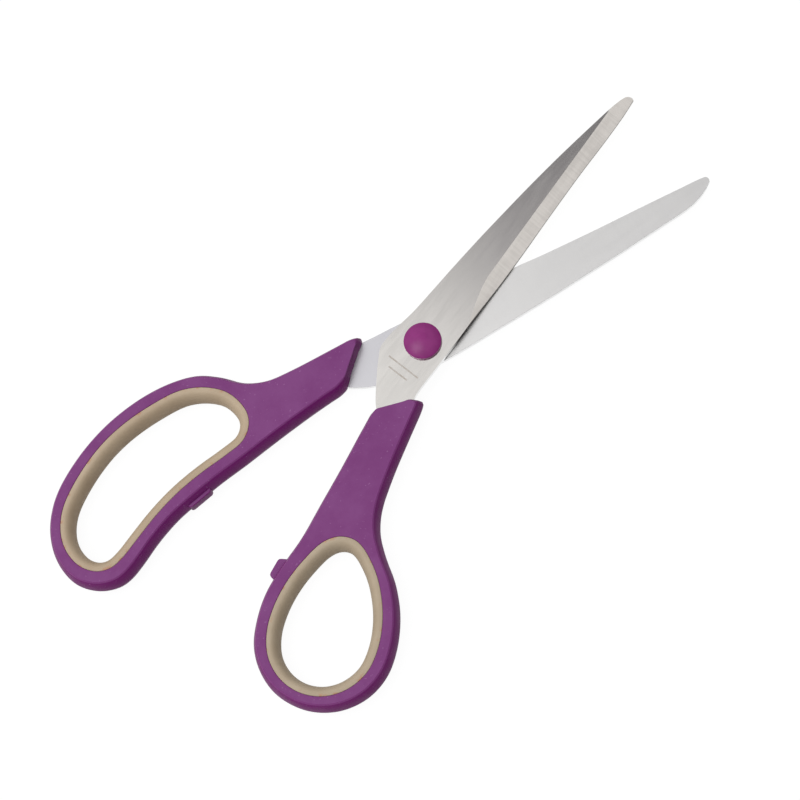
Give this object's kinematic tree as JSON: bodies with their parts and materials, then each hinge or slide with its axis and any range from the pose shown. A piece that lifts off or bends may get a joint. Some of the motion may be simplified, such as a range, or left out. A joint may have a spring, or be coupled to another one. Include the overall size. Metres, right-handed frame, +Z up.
{
  "type": "craft scissors",
  "caption": "Straight-bladed paper craft scissors: ground steel blades on a capped rivet pivot, moulded handles with soft-lined finger and thumb loops, lying part open.",
  "frame": {"origin": "on the rivet's axis, at the surface that the scissors lie on, which is the crown of the rear cap", "axes": "+X along the bisector of the open blades, towards their tips; +Z up from the resting surface, along the pivot axis; +Y towards the finger handle"},
  "size_m": [0.2196, 0.1145, 0.009],
  "materials": {
    "blade_steel": "satin ground stainless steel",
    "handle_plastic": "satin moulded purple plastic",
    "grip_rubber": "matt beige soft rubber",
    "cap_plastic": "smooth purple plastic",
    "pivot_steel": "plain steel",
    "washer_nylon": "natural nylon"
  },
  "bodies": {
    "finger_half": {"rear_blade": "blade_steel", "finger_handle": "handle_plastic", "finger_grip": "grip_rubber"},
    "thumb_half": {"front_blade": "blade_steel", "thumb_handle": "handle_plastic", "thumb_grip": "grip_rubber", "pivot_rivet": "pivot_steel", "front_washer": "pivot_steel", "friction_washer": "washer_nylon", "rear_washer": "pivot_steel", "front_cap": "cap_plastic", "rear_cap": "cap_plastic"}
  },
  "joints": [
    {"name": "pivot", "type": "hinge", "parent": "finger_half", "child": "thumb_half", "pos_m": [0, 0, 0], "axis": [0, 0, 1], "range_deg": [-21.8, 90]}
  ]
}
